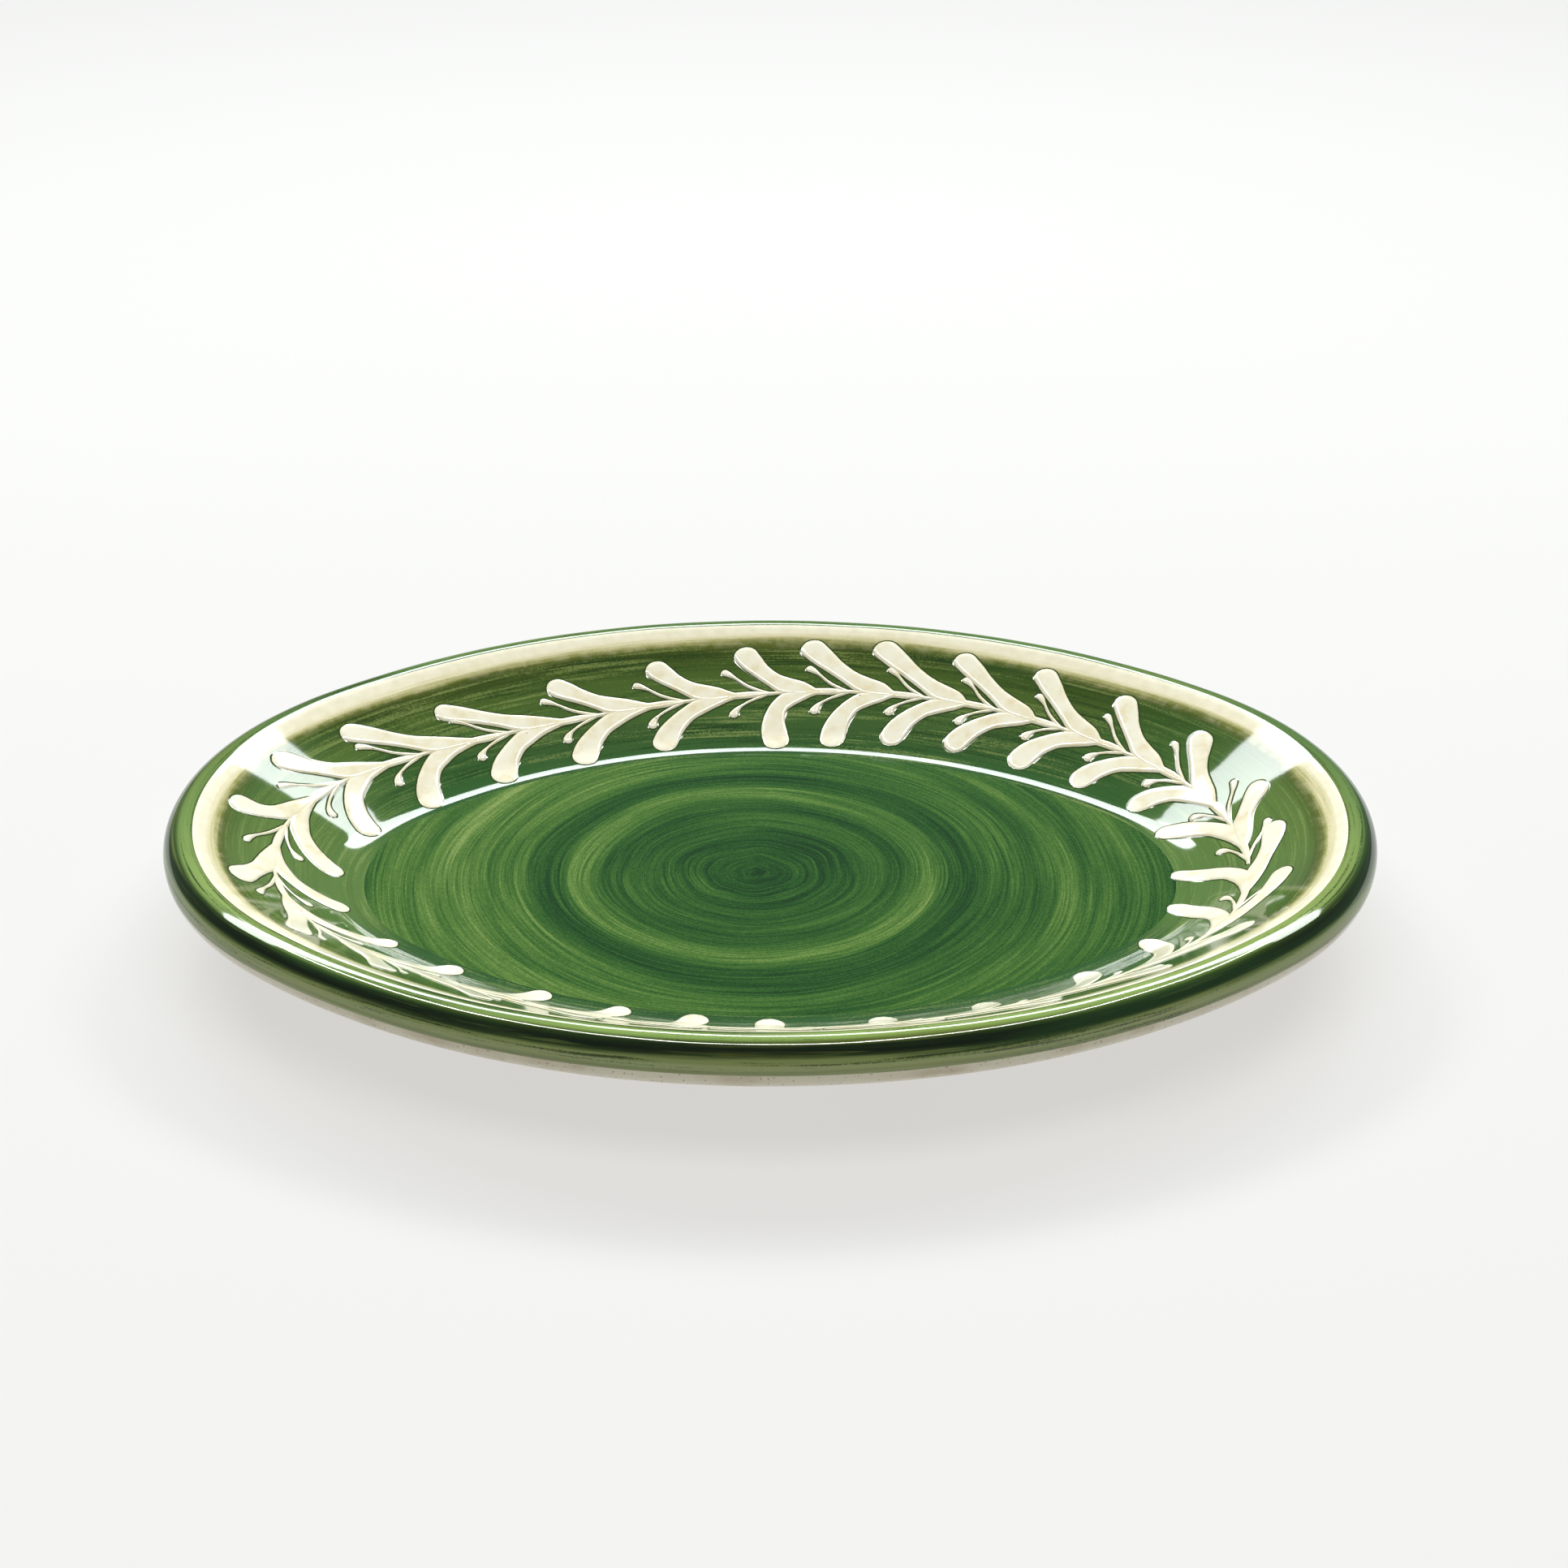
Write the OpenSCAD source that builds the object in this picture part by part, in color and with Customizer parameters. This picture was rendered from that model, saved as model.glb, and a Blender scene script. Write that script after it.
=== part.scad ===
// Oval serving plate of glazed earthenware: a shallow press-moulded dish with a rolled lip and a foot ring.
// It is glazed green inside, and a wreath of cream leaf pairs is painted round the wall.
// Frame: +X along the length, +Y across, +Z up. The origin is on the table, under the middle of the plate.

/* [Plan] */
// Length over the lip
length = 300; // [296:2:306]
// Width over the lip
width = 234; // [230:2:240]
// Radius of the two ends, seen from above
end_r = 95; // [93:1:98]

/* [Dish] */
// Depth of the dish, from the top of the lip down to the floor
depth = 20.5; // [19:0.5:23]
// Thickness of the floor with its glaze
floor_t = 6; // [5:0.5:8]
// Thickness of the wall with its glaze
wall_t = 8; // [7:0.5:9]
// Slope of the wall above level, in degrees
wall_slope = 30; // [28:1:32]
// Radius of the hollow where the wall runs into the floor
hollow_r = 18.7; // [14:0.1:22]
// Radius where the underside turns level
belly_r = 12; // [8:1:16]

/* [Lip] */
// Thickness of the rolled lip with its glaze
lip_d = 12; // [11:0.5:13]
// Radius of the groove under the lip
groove_r = 5; // [4:0.5:7]

/* [Foot ring] */
// Height of the foot ring
foot_h = 5; // [4:0.5:7]
// Width of the foot ring
foot_w = 6.5; // [5:0.5:8]
// Distance from the lip's edge in to the foot ring
foot_inset = 44; // [43:0.5:46]
// Radius of the foot ring's lower edges
foot_edge_r = 1.4; // [1:0.2:2]

/* [Glaze and paint] */
// Thickness of the glaze
glaze_t = 0.35; // [0.3:0.05:0.5]
// Thickness of the painted strokes, over the glaze
paint_t = 0.3; // [0.2:0.05:0.4]
// Where the cream ring starts, in degrees past the top of the lip
cream_start = 15; // [7.5:7.5:22.5]
// Width of the cream ring below the lip
cream_run = 3.5; // [2:0.5:5]
// How far the green glaze goes under the lip's widest line, in degrees
green_drop = 7.5; // [0:7.5:22.5]

/* [Wreath] */
// Number of leaf pairs
leaf_pairs = 27; // [26:1:28]
// Distance from the lip's edge in to the stem
stem_inset = 28.8; // [28:0.2:30]
// How far the stem strays from that line on each side
stem_stray = 2.3; // [0:0.1:2.5]
// Widest half width of the stem
stem_half = 1.1; // [0.8:0.1:1.3]
// Half width of the stem where it leaves a leaf pair
neck_half = 0.5; // [0.4:0.1:0.7]
// Gap where the two ends of the wreath fail to meet
seam_gap = 3; // [1:0.5:5]

/* [Hidden] */
$fn = 120;

clay_colour = [0.80, 0.67, 0.50];
foot_colour = [0.72, 0.57, 0.42];
deep_green = [0.14, 0.33, 0.15];
olive_green = [0.33, 0.42, 0.15];
lip_green = [0.24, 0.40, 0.14];
cream_slip = [0.93, 0.91, 0.79];
bone_slip = [0.90, 0.87, 0.76];
stone_glaze = [0.80, 0.78, 0.68];

// Plan: four arcs. The side arcs' centres lie on Y, the end arcs' centres on X, and join_a is where they meet.
// Lengths are kept to a thousandth of a millimetre, so that the arcs meet cleanly.
end_c = length / 2 - end_r;
side_r = tidy((pow(end_c, 2) + pow(width / 2, 2) - pow(end_r, 2)) / (width - 2 * end_r));
side_c = side_r - width / 2;
join_a = atan2(side_c, end_c);
far = [6 * end_c, 5 * side_c];

// Section: points are [distance in from the lip's edge, height]; "up" stands square to the inner wall
floor_z = foot_h + floor_t;
lip_top = floor_z + depth;
up = [sin(wall_slope), cos(wall_slope)];
down_wall = [cos(wall_slope), -sin(wall_slope)];
lip_r = lip_d / 2;
lip_c = [lip_r, lip_top - lip_r];
wall_run = (lip_c[1] + lip_r * up[1] - floor_z - hollow_r * (1 - up[1])) / sin(wall_slope);
hollow_c = lip_c + (lip_r + hollow_r) * up + wall_run * down_wall;
groove_drop = wall_t - lip_r + groove_r;
groove_c = lip_c - groove_drop * up + sqrt(pow(lip_r + groove_r, 2) - pow(groove_drop, 2)) * down_wall;
groove_a = atan2(lip_c[0] - groove_c[0], lip_c[1] - groove_c[1]);
belly_off = lip_r - wall_t + belly_r;
belly_c = lip_c + belly_off * up
    + (lip_c[1] + belly_off * up[1] - foot_h - belly_r) / sin(wall_slope) * down_wall;
green_end = -90 - green_drop;
seam_a = wall_slope - 180;
roll_under = groove_a - 180;
foot_in = foot_inset + foot_w;
lip_step = 7.5;
curve_steps = 6;
margin = 2;

// Wreath: a line round the wall, measured along from the middle of the near side, anticlockwise from above
ref_end = end_r - stem_inset;
ref_side = side_r - stem_inset;
half_side = ref_side * (90 - join_a) * PI / 180;
end_run = ref_end * 2 * join_a * PI / 180;
round_len = 4 * half_side + 2 * end_run;
mean_pitch = round_len / leaf_pairs;
first_pair = 167.5;
paint_edge = 8;

// Leaf outlines, [along, outwards] from the fork of their pair; the stamens add a half width
outer_leaf = [[-6.1, 3.5], [-2, 5.3], [2, 7.5], [6.1, 12], [8.8, 15.8], [10.9, 17.7], [13.2, 17.9],
    [15.2, 16.9], [15.6, 14.9], [14.2, 12.8], [10.2, 8.3], [6.1, 5.3], [2, 2]];
inner_leaf = [[-5, -3.4], [-2, -4.9], [1, -6.7], [3.7, -9.6], [4.9, -12], [6, -14.3], [8.4, -15.6],
    [11, -14.9], [12.6, -12.6], [12.2, -10], [10, -7.2], [6.1, -3.9], [2.2, -1.6]];
stem_edge = [[0, neck_half], [4, 0.75], [8, stem_half]];
outer_stamen = [[5, 1.1, 0.5], [8.5, 3, 0.45], [11.5, 5.6, 0.4], [13.4, 7.1, 0.8], [14.6, 7.8, 1]];
inner_stamen = [[4.5, -0.9, 0.5], [7.5, -2, 0.4], [10.3, -3.4, 0.4], [12, -4.8, 0.9], [12.8, -5.9, 1.3]];

// Middle of each leaf's round tip in the outlines above, and where it lies on each pair:
// [outer along, outer out, inner along, inner in]
outer_tip = [12, 14.8];
inner_tip = [9.1, -11.9];
leaf_ends = [[6.5, 11.1, 13.9, 14.3], [7.9, 12.5, 9.3, 12], [9.9, 13.4, 9, 12.5], [12.2, 13.9, 8.5, 12.9],
    [13.8, 13.6, 9.2, 12.8], [14.5, 14.5, 8.1, 13.7], [12.4, 14.3, 5, 15.7], [8, 13.1, 0, 16.2],
    [8.3, 11.4, 10.1, 12.7], [10.7, 10.9, 10.3, 12.7], [16.5, 10.9, 10.5, 13.1], [15.4, 12.5, 9.4, 15.3],
    [8.8, 13.4, 9.7, 15.2], [3.5, 12.3, 12.2, 15], [8.1, 10.6, 9, 15.2], [10.2, 11.1, 9.7, 17],
    [11, 12, 8.7, 17], [12, 12.5, 12.5, 16.5], [12, 13, 11.9, 16], [11, 13, 8.6, 16], [11, 13, 4, 16],
    [12, 13, 7.7, 16], [12, 12.5, 8.8, 16], [13, 12, 13.3, 17], [15, 10, 12.4, 17.5], [17, 9.2, 11.8, 18],
    [13.5, 8.6, 9.5, 17.6]];
along_bend = 1.3;
out_bend = 1.7;
stamen_lean = 0.9;

function tidy(v) = round(v * 1000) / 1000;

// A point at angle a round c, where 0 is straight up and 90 points in to the middle of the plate
function arc(c, r, a0, a1, n) = [for (i = [0:n]) let(a = a0 + (a1 - a0) * i / n) c + r * [sin(a), cos(a)]];
function rest(p) = [for (i = [1:len(p) - 1]) p[i]];
function turned(p) = [for (i = [len(p) - 1:-1:0]) p[i]];

// Surfaces of the dish at depth t below the glaze
function lip_face(t, a0, a1) = arc(lip_c, lip_r - t, a0, a1, max(1, round(abs(a1 - a0) / lip_step)));
function roll_foot(t) = arc(lip_c, lip_r - t, seam_a, roll_under, curve_steps);
function wall_top(t, run) = [lip_c + (lip_r - t) * up + run * down_wall];
function hollow_face(t) = arc(hollow_c, hollow_r + t, 180 + wall_slope, 180, curve_steps);
function groove_face(t) = arc(groove_c, groove_r + t, groove_a, wall_slope, curve_steps);
function belly_face(t) = arc(belly_c, belly_r - t, 180 + wall_slope, 180, curve_steps);
function under_face(t) = concat(lip_face(t, green_end, seam_a), rest(roll_foot(t)), rest(groove_face(t)),
    belly_face(t));
function skin(outer, inner) = concat(outer, turned(inner));

// A point of the wreath's line at distance s along it, moved to the given inset from the lip's edge
function degrees_of(run, r) = run / r * 180 / PI;
function polar(c, r, a) = c + r * [cos(a), sin(a)];
function half_round(q, inset) =
    q < half_side ? polar([0, side_c], side_r - inset, -90 + degrees_of(q, ref_side))
    : q < half_side + end_run ? polar([end_c, 0], end_r - inset, degrees_of(q - half_side, ref_end) - join_a)
    : polar([0, -side_c], side_r - inset, join_a + degrees_of(q - half_side - end_run, ref_side));
function spot(s, inset) = let(halves = floor(2 * s / round_len), q = s - halves * round_len / 2)
    (halves % 2 == 0 ? 1 : -1) * half_round(q, inset);

// The spacing is wider where the painting began, and the stem strays in and out three times in a round
function fork_at(i) = let(u = 360 * i / leaf_pairs)
    first_pair + mean_pitch * i + 7.8 * cos(u + 37.5) + 5.8 * cos(2 * u - 20);
function stray_at(s) = cos(3 * 360 * (s - 177) / round_len);
function on_wall(i, p) = let(s = fork_at(i) + p[0])
    spot(s, stem_inset + stem_stray * stray_at(s) - p[1] * cos(wall_slope));
function pitch_at(i) = fork_at(i) - fork_at(i - 1);
function base_at(i) = -pitch_at(i) / 2;

// Smooth curve through points, with n steps between each two
function blend(a, b, c, d, t) = (2 * b + (c - a) * t + (2 * a - 5 * b + 4 * c - d) * t * t
    + (3 * b - a - 3 * c + d) * t * t * t) / 2;
function smooth(p, n) = concat([for (i = [0:len(p) - 2]) for (j = [0:n - 1])
    blend(p[max(i - 1, 0)], p[i], p[i + 1], p[min(i + 2, len(p) - 1)], j / n)], [p[len(p) - 1]]);
function axis_back(a, b, n) = [for (j = [0:n]) [a + (b - a) * j / n, 0]];
function flat2(p) = [p[0], p[1]];
function side_dir(p, i) = let(v = flat2(p[min(i + 1, len(p) - 1)] - p[max(i - 1, 0)])) [-v[1], v[0]] / norm(v);
function stroke(p) = let(n = len(p), last = p[n - 1], v = side_dir(p, n - 1), a = atan2(v[1], v[0]))
    concat([for (i = [0:n - 1]) flat2(p[i]) + p[i][2] * side_dir(p, i)],
        [for (k = [1:5]) flat2(last) + last[2] * [cos(a - 30 * k), sin(a - 30 * k)]],
        [for (i = [n - 1:-1:0]) flat2(p[i]) - p[i][2] * side_dir(p, i)]);

module section(points, r) {
    polygon([for (p = points) [tidy(r - p[0]), tidy(p[1])]]);
}

// The parts of the plan that belong to the end arc and to the side arc; far lies on the line where they meet
module end_part() {
    polygon([[end_c, 0], [far[0], -far[1]], far]);
}

module side_part() {
    polygon([[end_c, 0], far, [-far[0], far[1]], [-end_c, 0]]);
}

// Sweeps a section round the oval, as four true arcs
module ring(points) {
    for (turn = [0, 180]) rotate(turn) {
        intersection() {
            translate([end_c, 0]) rotate_extrude() section(points, end_r);
            translate([0, 0, -margin]) linear_extrude(lip_top + 2 * margin) end_part();
        }
        intersection() {
            translate([0, -side_c]) rotate_extrude() section(points, side_r);
            translate([0, 0, -margin]) linear_extrude(lip_top + 2 * margin) side_part();
        }
    }
}

// The plan of the plate at an inset from the lip's edge
module oval(inset) {
    for (turn = [0, 180]) rotate(turn) {
        intersection() {
            translate([end_c, 0]) circle(tidy(end_r - inset));
            end_part();
        }
        intersection() {
            translate([0, -side_c]) circle(tidy(side_r - inset));
            side_part();
        }
    }
}

module disc(inset, z, t) {
    translate([0, 0, z]) linear_extrude(t) oval(inset);
}

// Drapes flat outlines over the glazed wall as strokes of paint
module painted() {
    intersection() {
        translate([0, 0, floor_z - 1]) linear_extrude(depth) children();
        ring(skin(
            concat(wall_top(0, 0), hollow_face(0), [[hollow_c[0] + paint_edge, floor_z]]),
            concat(wall_top(-paint_t, 0), hollow_face(-paint_t), [[hollow_c[0] + paint_edge, floor_z + paint_t]])));
    }
}

// Moves a leaf outline's points so that its tip lies at the given end
function bent(p, tip, end) = let(share = min(1, max(0, p[1] / tip[1])))
    p + [(end[0] - tip[0]) * pow(share, along_bend), (end[1] - tip[1]) * pow(share, out_bend)];
function outer_end(i) = let(e = leaf_ends[i % leaf_pairs]) [e[0], e[1]];
function inner_end(i) = let(e = leaf_ends[i % leaf_pairs]) [e[2], -e[3]];

module leaf(i, points, side, tip, end) {
    base = base_at(i);
    edge = concat([[base, side * stem_half]], [for (p = points) bent(p, tip, end)], [[0, side * neck_half]]);
    outline = concat(smooth(edge, 2), axis_back(0, base, 4));
    polygon([for (p = outline) on_wall(i, p)]);
}

// The stem from one fork to the next pair's leaves; the first one starts short, at the seam
module stem_run(i) {
    stretch = pitch_at(i) / mean_pitch;
    stop = pitch_at(i) / 2;
    start = i == 0 ? seam_gap : 0;
    edge = smooth(concat([for (p = stem_edge) [start + p[0] * stretch * (stop - start) / stop, p[1]]],
        [[stop, stem_half]]), 2);
    outline = concat(edge, turned([for (p = edge) [p[0], -p[1]]]));
    polygon([for (p = outline) on_wall(i, [p[0] - pitch_at(i), p[1]])]);
}

module stamen(i, points, lean, grow) {
    stretch = pitch_at(i) / mean_pitch;
    start = i == 0 ? seam_gap : 0;
    reach = points[len(points) - 1][1];
    line = smooth([for (p = points)
        [start + p[0] * stretch + lean * stamen_lean * p[1] / reach, p[1] * (1 + (grow - 1) * p[1] / reach), p[2]]], 2);
    difference() {
        polygon([for (p = stroke(line)) on_wall(i, [p[0] - pitch_at(i), p[1]])]);
        stem_run(i);
    }
}

module clay_dish() {
    color(clay_colour) {
        ring(concat(wall_top(glaze_t, 0), hollow_face(glaze_t), [[hollow_c[0], foot_h + glaze_t]],
            turned(belly_face(glaze_t)), turned(groove_face(glaze_t)), rest(turned(roll_foot(glaze_t)))));
        disc(hollow_c[0], foot_h + glaze_t, floor_t - 2 * glaze_t);
    }
}

module lip_roll() {
    color(clay_colour) ring(lip_face(glaze_t, wall_slope, seam_a));
}

module foot_ring() {
    color(foot_colour) ring(concat(
        [[foot_in, foot_h + glaze_t]],
        arc([foot_in - foot_edge_r, foot_edge_r], foot_edge_r, 90, 180, curve_steps),
        arc([foot_inset + foot_edge_r, foot_edge_r], foot_edge_r, 180, 270, curve_steps),
        [[foot_inset, foot_h + glaze_t]]));
}

module floor_glaze() {
    color(deep_green) disc(hollow_c[0], floor_z - glaze_t, glaze_t);
}

module wall_glaze() {
    color(olive_green) ring(skin(
        concat(wall_top(0, cream_run), hollow_face(0)),
        concat(wall_top(glaze_t, cream_run), hollow_face(glaze_t))));
}

module cream_ring() {
    color(cream_slip) ring(skin(
        concat(lip_face(0, cream_start, wall_slope), wall_top(0, cream_run)),
        concat(lip_face(glaze_t, cream_start, wall_slope), wall_top(glaze_t, cream_run))));
}

module lip_glaze() {
    color(lip_green) ring(skin(lip_face(0, cream_start, green_end), lip_face(glaze_t, cream_start, green_end)));
}

// Covers the underside out to the foot ring and down its outer side
module outside_glaze() {
    color(stone_glaze) ring(skin(
        concat(under_face(0), [[foot_inset - glaze_t, foot_h], [foot_inset - glaze_t, foot_edge_r]]),
        concat(under_face(glaze_t), [[foot_inset, foot_h + glaze_t], [foot_inset, foot_edge_r]])));
}

// Covers the base inside the foot ring and the ring's inner side
module base_glaze() {
    color(stone_glaze) {
        disc(foot_in, foot_h, glaze_t);
        ring([[foot_in, foot_edge_r], [foot_in, foot_h], [foot_in + glaze_t, foot_h],
            [foot_in + glaze_t, foot_edge_r]]);
    }
}

module stem() {
    color(bone_slip) painted() for (i = [0:leaf_pairs - 1]) stem_run(i);
}

module outer_leaves() {
    color(bone_slip) painted() for (i = [0:leaf_pairs - 1]) leaf(i, outer_leaf, 1, outer_tip, outer_end(i));
}

module inner_leaves() {
    color(bone_slip) painted() for (i = [0:leaf_pairs - 1]) leaf(i, inner_leaf, -1, inner_tip, inner_end(i));
}

// Each stamen follows the leaf that it starts beside, one pair back
module outer_stamens() {
    color(bone_slip) painted() for (i = [0:leaf_pairs - 1])
        stamen(i, outer_stamen, 0, outer_end(i + leaf_pairs - 1)[1] / outer_tip[1]);
}

module inner_stamens() {
    color(bone_slip) painted() for (i = [0:leaf_pairs - 1]) let(end = inner_end(i + leaf_pairs - 1))
        stamen(i, inner_stamen, end[0] - inner_tip[0], end[1] / inner_tip[1]);
}

clay_dish();
lip_roll();
foot_ring();
floor_glaze();
wall_glaze();
cream_ring();
lip_glaze();
outside_glaze();
base_glaze();
stem();
outer_leaves();
inner_leaves();
outer_stamens();
inner_stamens();
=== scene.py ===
import math

import bmesh
import bpy
from mathutils import Matrix, Vector, noise


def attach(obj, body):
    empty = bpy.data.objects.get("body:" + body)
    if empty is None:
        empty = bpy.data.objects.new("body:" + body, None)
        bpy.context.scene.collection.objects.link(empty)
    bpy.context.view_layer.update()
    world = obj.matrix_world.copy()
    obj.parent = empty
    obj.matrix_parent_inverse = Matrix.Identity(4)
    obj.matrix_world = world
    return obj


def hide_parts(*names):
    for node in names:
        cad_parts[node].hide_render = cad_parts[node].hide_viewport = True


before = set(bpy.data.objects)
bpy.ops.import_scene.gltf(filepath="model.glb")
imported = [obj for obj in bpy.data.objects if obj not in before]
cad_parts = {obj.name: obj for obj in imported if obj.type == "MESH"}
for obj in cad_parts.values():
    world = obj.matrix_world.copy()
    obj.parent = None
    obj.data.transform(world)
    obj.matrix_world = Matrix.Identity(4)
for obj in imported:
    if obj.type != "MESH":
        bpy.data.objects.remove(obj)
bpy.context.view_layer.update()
print("frame loaded:", len(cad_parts), "CAD nodes")

# Oval serving plate. Lengths in the dictionaries are millimetres and angles are degrees; meshes are in metres.
milli = 0.001

plan = {"length": 300, "width": 234, "endRadius": 95, "endSteps": 66, "sideSteps": 104}
dish = {"footHeight": 5, "floorThick": 6, "wallThick": 8, "depth": 20.5, "slope": 30, "hollow": 18.7,
        "belly": 12, "lip": 12, "groove": 5, "footWidth": 6.5, "footInset": 44, "footEdge": 1.4}
coats = {"glaze": 0.35, "paint": 0.3, "creamStart": 15, "creamRun": 3.5, "greenDrop": 7.5}
hand = {"outward": 0.32, "height": 0.3, "ripple": 0.035, "rippleLength": 21}  # how far a hand-made plate strays

# Plan: four arcs, two round the ends and two along the sides
endCentre = plan["length"] / 2 - plan["endRadius"]
halfWidth = plan["width"] / 2
sideRadius = (endCentre ** 2 + halfWidth ** 2 - plan["endRadius"] ** 2) / (2 * (halfWidth - plan["endRadius"]))
sideCentre = sideRadius - halfWidth
joinAngle = math.atan2(sideCentre, endCentre)
endTurn, sideTurn = 2 * joinAngle, math.pi - 2 * joinAngle
planArcs = [((endCentre, 0), endTurn, plan["endSteps"]), ((0, -sideCentre), sideTurn, plan["sideSteps"]),
            ((-endCentre, 0), endTurn, plan["endSteps"]), ((0, sideCentre), sideTurn, plan["sideSteps"])]

# Section: points are (distance in from the lip's edge, height)
slope = math.radians(dish["slope"])
upWall, downWall = Vector((math.sin(slope), math.cos(slope))), Vector((math.cos(slope), -math.sin(slope)))
floorTop = dish["footHeight"] + dish["floorThick"]
lipTop = floorTop + dish["depth"]
lipRadius = dish["lip"] / 2
lipCentre = Vector((lipRadius, lipTop - lipRadius))
wallRun = (lipCentre.y + lipRadius * upWall.y - floorTop - dish["hollow"] * (1 - upWall.y)) / math.sin(slope)
hollowCentre = lipCentre + (lipRadius + dish["hollow"]) * upWall + wallRun * downWall
grooveDrop = dish["wallThick"] - lipRadius + dish["groove"]
grooveRun = math.sqrt((lipRadius + dish["groove"]) ** 2 - grooveDrop ** 2)
grooveCentre = lipCentre - grooveDrop * upWall + grooveRun * downWall
grooveTurn = math.degrees(math.atan2(lipCentre.x - grooveCentre.x, lipCentre.y - grooveCentre.y))
bellyOff = lipRadius - dish["wallThick"] + dish["belly"]
bellyRun = (lipCentre.y + bellyOff * upWall.y - dish["footHeight"] - dish["belly"]) / math.sin(slope)
bellyCentre = lipCentre + bellyOff * upWall + bellyRun * downWall
greenEnd = -90 - coats["greenDrop"]
rollSeam, rollUnder = dish["slope"] - 180, grooveTurn - 180
floorInset = hollowCentre.x
footInner = dish["footInset"] + dish["footWidth"]


def bow(centre, radius, start, stop, step):  # points on an arc, 0 is straight up and 90 points in to the middle
    steps = max(1, round(abs(stop - start) / step))
    angles = [math.radians(start + (stop - start) * i / steps) for i in range(steps + 1)]
    return [centre + radius * Vector((math.sin(a), math.cos(a))) for a in angles]


def lipFace(t, start, stop):
    return bow(lipCentre, lipRadius - t, start, stop, 2.5)


def wallFace(t, run):
    top, foot = (lipCentre + (lipRadius - t) * upWall + r * downWall for r in (run, wallRun))
    steps = 18
    return [top.lerp(foot, i / steps) for i in range(steps)] + bow(hollowCentre, dish["hollow"] + t,
                                                                  180 + dish["slope"], 180, 2)


def underFace(t):
    groove = bow(grooveCentre, dish["groove"] + t, grooveTurn, dish["slope"], 6)
    belly = bow(bellyCentre, dish["belly"] - t, 180 + dish["slope"], 180, 3)
    return lipFace(t, greenEnd, rollUnder)[:-1] + groove + belly


def skin(face):  # a closed section between the face and the clay under it
    return face(0) + face(coats["glaze"])[::-1]


def lipAngle(p):
    return math.degrees(math.atan2(p.x - lipCentre.x, p.y - lipCentre.y))


def insetOf(p):
    return p.x


# The wreath's line round the wall, measured anticlockwise from the middle of the near side
wreath = {"pairs": 27, "inset": 28.8, "stray": 2.3, "stem": 1.1, "neck": 0.5, "seamGap": 3, "firstPair": 167.5,
          "pool": 0.5, "poolHeight": 0.06, "shoulder": 0.6, "foot": -0.01}
refEnd, refSide = plan["endRadius"] - wreath["inset"], sideRadius - wreath["inset"]
halfSide, endRun = refSide * sideTurn / 2, refEnd * endTurn
roundLength = 4 * halfSide + 2 * endRun
meanPitch = roundLength / wreath["pairs"]


def roundWay(x, y):  # share of the way round at a point of the plan
    half = 0.5 if (y > 0 or (y == 0 and x < 0)) else 0.0
    if half:
        x, y = -x, -y
    if abs(math.atan2(y, x - endCentre)) < joinAngle:
        run = halfSide + (math.atan2(y, x - endCentre) + joinAngle) * refEnd
    elif abs(math.atan2(y, -x - endCentre)) < joinAngle:
        run = -halfSide - (math.atan2(y, -x - endCentre) + joinAngle) * refEnd
    else:
        run = math.atan2(x, sideCentre - y) * refSide
    return (run / roundLength + half) % 1.0


def planSpot(run, inset):  # a point of the plan at that run along the line and distance from the lip's edge
    halves, rest = divmod(run, roundLength / 2)
    if rest < halfSide:
        centre, radius, angle = Vector((0, sideCentre)), sideRadius, rest / refSide - math.pi / 2
    elif rest < halfSide + endRun:
        centre, radius, angle = Vector((endCentre, 0)), plan["endRadius"], (rest - halfSide) / refEnd - joinAngle
    else:
        centre, radius = Vector((0, -sideCentre)), sideRadius
        angle = joinAngle + (rest - halfSide - endRun) / refSide
    spot = centre + (radius - inset) * Vector((math.cos(angle), math.sin(angle)))
    return spot if halves % 2 == 0 else -spot


def onWall(run, inset, lift):  # a point over the glazed wall, lifted square to it
    if inset < hollowCentre.x - dish["hollow"] * math.sin(slope):
        foot = lipCentre + lipRadius * upWall
        place = foot + (inset - foot.x) / downWall.x * downWall + lift * upWall
    else:
        reach = min(inset, hollowCentre.x) - hollowCentre.x
        drop = math.sqrt(dish["hollow"] ** 2 - reach ** 2)
        square = Vector((-reach, drop)) / dish["hollow"]
        place = Vector((inset, hollowCentre.y - drop)) + lift * square
    spot = planSpot(run, place.x)
    return Vector((spot.x, spot.y, place.y))


def strayByHand(p):  # the same small unevenness for every coat, so that they stay together
    way = math.atan2(p.y / plan["width"], p.x / plan["length"])
    rim = min(1.0, math.hypot(2 * p.x / plan["length"], 2 * p.y / plan["width"])) ** 2
    out = 0.6 * math.sin(2 * way + 0.7) + 0.3 * math.sin(3 * way + 2.1) + 0.2 * math.sin(5 * way - 1)
    lift = 0.5 * math.sin(2 * way - 0.4) + 0.3 * math.sin(3 * way + 0.9) + 0.3 * math.sin(7 * way)
    wave = noise.noise(Vector((p.x, p.y, 0)) / hand["rippleLength"])
    wave += 0.3 * noise.noise(Vector((p.x, p.y, 40)) / (0.4 * hand["rippleLength"]))
    height = min(1.0, max(0.0, p.z / lipTop))
    flat = Vector((p.x, p.y, 0))
    level = height * (hand["height"] * lift * rim + 2 * hand["ripple"] * wave)
    sideways = flat.normalized() * hand["outward"] * out * rim * height if flat.length > 1 else Vector((0, 0, 0))
    return p + sideways + Vector((0, 0, level))


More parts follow.
